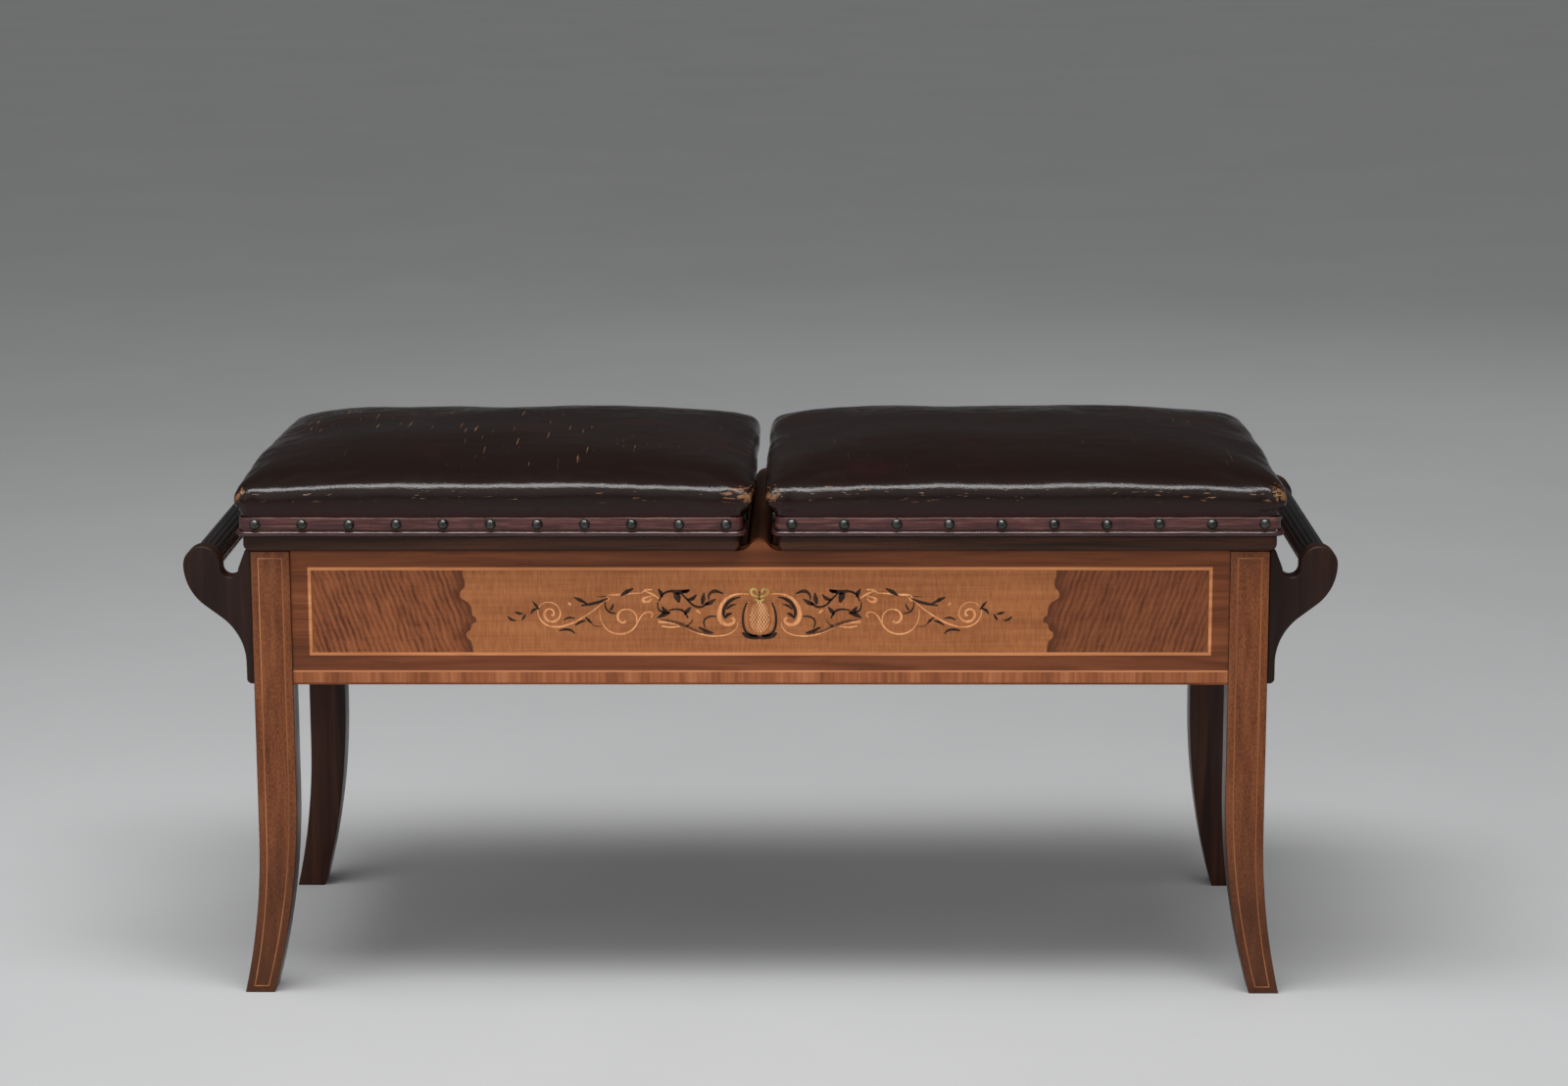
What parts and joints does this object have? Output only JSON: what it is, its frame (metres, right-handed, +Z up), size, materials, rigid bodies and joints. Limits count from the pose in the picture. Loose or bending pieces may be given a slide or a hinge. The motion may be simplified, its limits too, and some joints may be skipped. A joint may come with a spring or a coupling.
{
  "type": "duet piano stool",
  "caption": "Long antique duet piano stool: inlaid mahogany base on sabre legs, reeded end grips, and padded leather seats that rise separately on ratchets.",
  "frame": {"origin": "on the floor under the middle of the stool", "axes": "+X along the stool to the right as the picture shows it, +Y from the inlaid front to the back, +Z up"},
  "size_m": [1.112, 0.432, 0.5365],
  "materials": {
    "mahogany": "polished",
    "dark_mahogany": "polished",
    "ebonised_wood": "polished",
    "figured_veneer": "polished",
    "crossband_veneer": "polished",
    "satinwood": "polished",
    "deal": "matt",
    "leather": "aged, semi-gloss",
    "leather_trim": "aged, semi-gloss",
    "horsehair": "matt",
    "nail_metal": "dark patina",
    "iron": "matt",
    "spring_steel": "satin"
  },
  "bodies": {
    "base": {"front_left_leg": "mahogany", "front_left_bracket": "dark_mahogany", "back_left_leg": "mahogany", "back_left_bracket": "dark_mahogany", "left_end_rail": "mahogany", "left_grip": "ebonised_wood", "left_batten": "deal", "left_guide_strips": "deal", "left_shaft_bearings": "iron", "left_pawl_spring": "spring_steel", "front_right_leg": "mahogany", "front_right_bracket": "dark_mahogany", "back_right_leg": "mahogany", "back_right_bracket": "dark_mahogany", "right_end_rail": "mahogany", "right_grip": "ebonised_wood", "right_batten": "deal", "right_guide_strips": "deal", "right_shaft_bearings": "iron", "right_pawl_spring": "spring_steel", "front_rail": "mahogany", "back_rail": "mahogany", "centre_bearer": "dark_mahogany", "front_panel": "figured_veneer", "front_crossband": "crossband_veneer", "front_stringing": "satinwood"},
    "left_seat": {"left_seat_board": "mahogany", "left_seat_pad_board": "deal", "left_seat_stuffing": "horsehair", "left_seat_cover": "leather", "left_seat_band": "leather_trim", "left_seat_welt": "leather_trim", "left_seat_nails": "nail_metal", "left_seat_front_skirt": "deal", "left_seat_back_skirt": "deal", "left_seat_inner_skirt": "deal", "left_seat_outer_skirt": "deal", "left_front_rack": "iron", "left_back_rack": "iron"},
    "left_pawls": {"left_pawl_shaft": "iron", "left_front_pawl": "iron", "left_back_pawl": "iron"},
    "right_seat": {"right_seat_board": "mahogany", "right_seat_pad_board": "deal", "right_seat_stuffing": "horsehair", "right_seat_cover": "leather", "right_seat_band": "leather_trim", "right_seat_welt": "leather_trim", "right_seat_nails": "nail_metal", "right_seat_front_skirt": "deal", "right_seat_back_skirt": "deal", "right_seat_inner_skirt": "deal", "right_seat_outer_skirt": "deal", "right_front_rack": "iron", "right_back_rack": "iron"},
    "right_pawls": {"right_pawl_shaft": "iron", "right_front_pawl": "iron", "right_back_pawl": "iron"}
  },
  "joints": [
    {"name": "left_seat_rise", "type": "slide", "parent": "base", "child": "left_seat", "axis": [0, 0, 1], "range_m": [0, 0.06]},
    {"name": "left_pawl_release", "type": "hinge", "parent": "base", "child": "left_pawls", "pos_m": [-0.23125, 0, 0.39], "axis": [0, -1, 0], "range_deg": [0, 14], "stiffness_Nm_per_rad": 1.2, "springref_deg": -11.46, "deforming": ["left_pawl_spring"]},
    {"name": "right_seat_rise", "type": "slide", "parent": "base", "child": "right_seat", "axis": [0, 0, 1], "range_m": [0, 0.06]},
    {"name": "right_pawl_release", "type": "hinge", "parent": "base", "child": "right_pawls", "pos_m": [0.23125, 0, 0.39], "axis": [0, 1, 0], "range_deg": [0, 14], "stiffness_Nm_per_rad": 1.2, "springref_deg": -11.46, "deforming": ["right_pawl_spring"]}
  ]
}
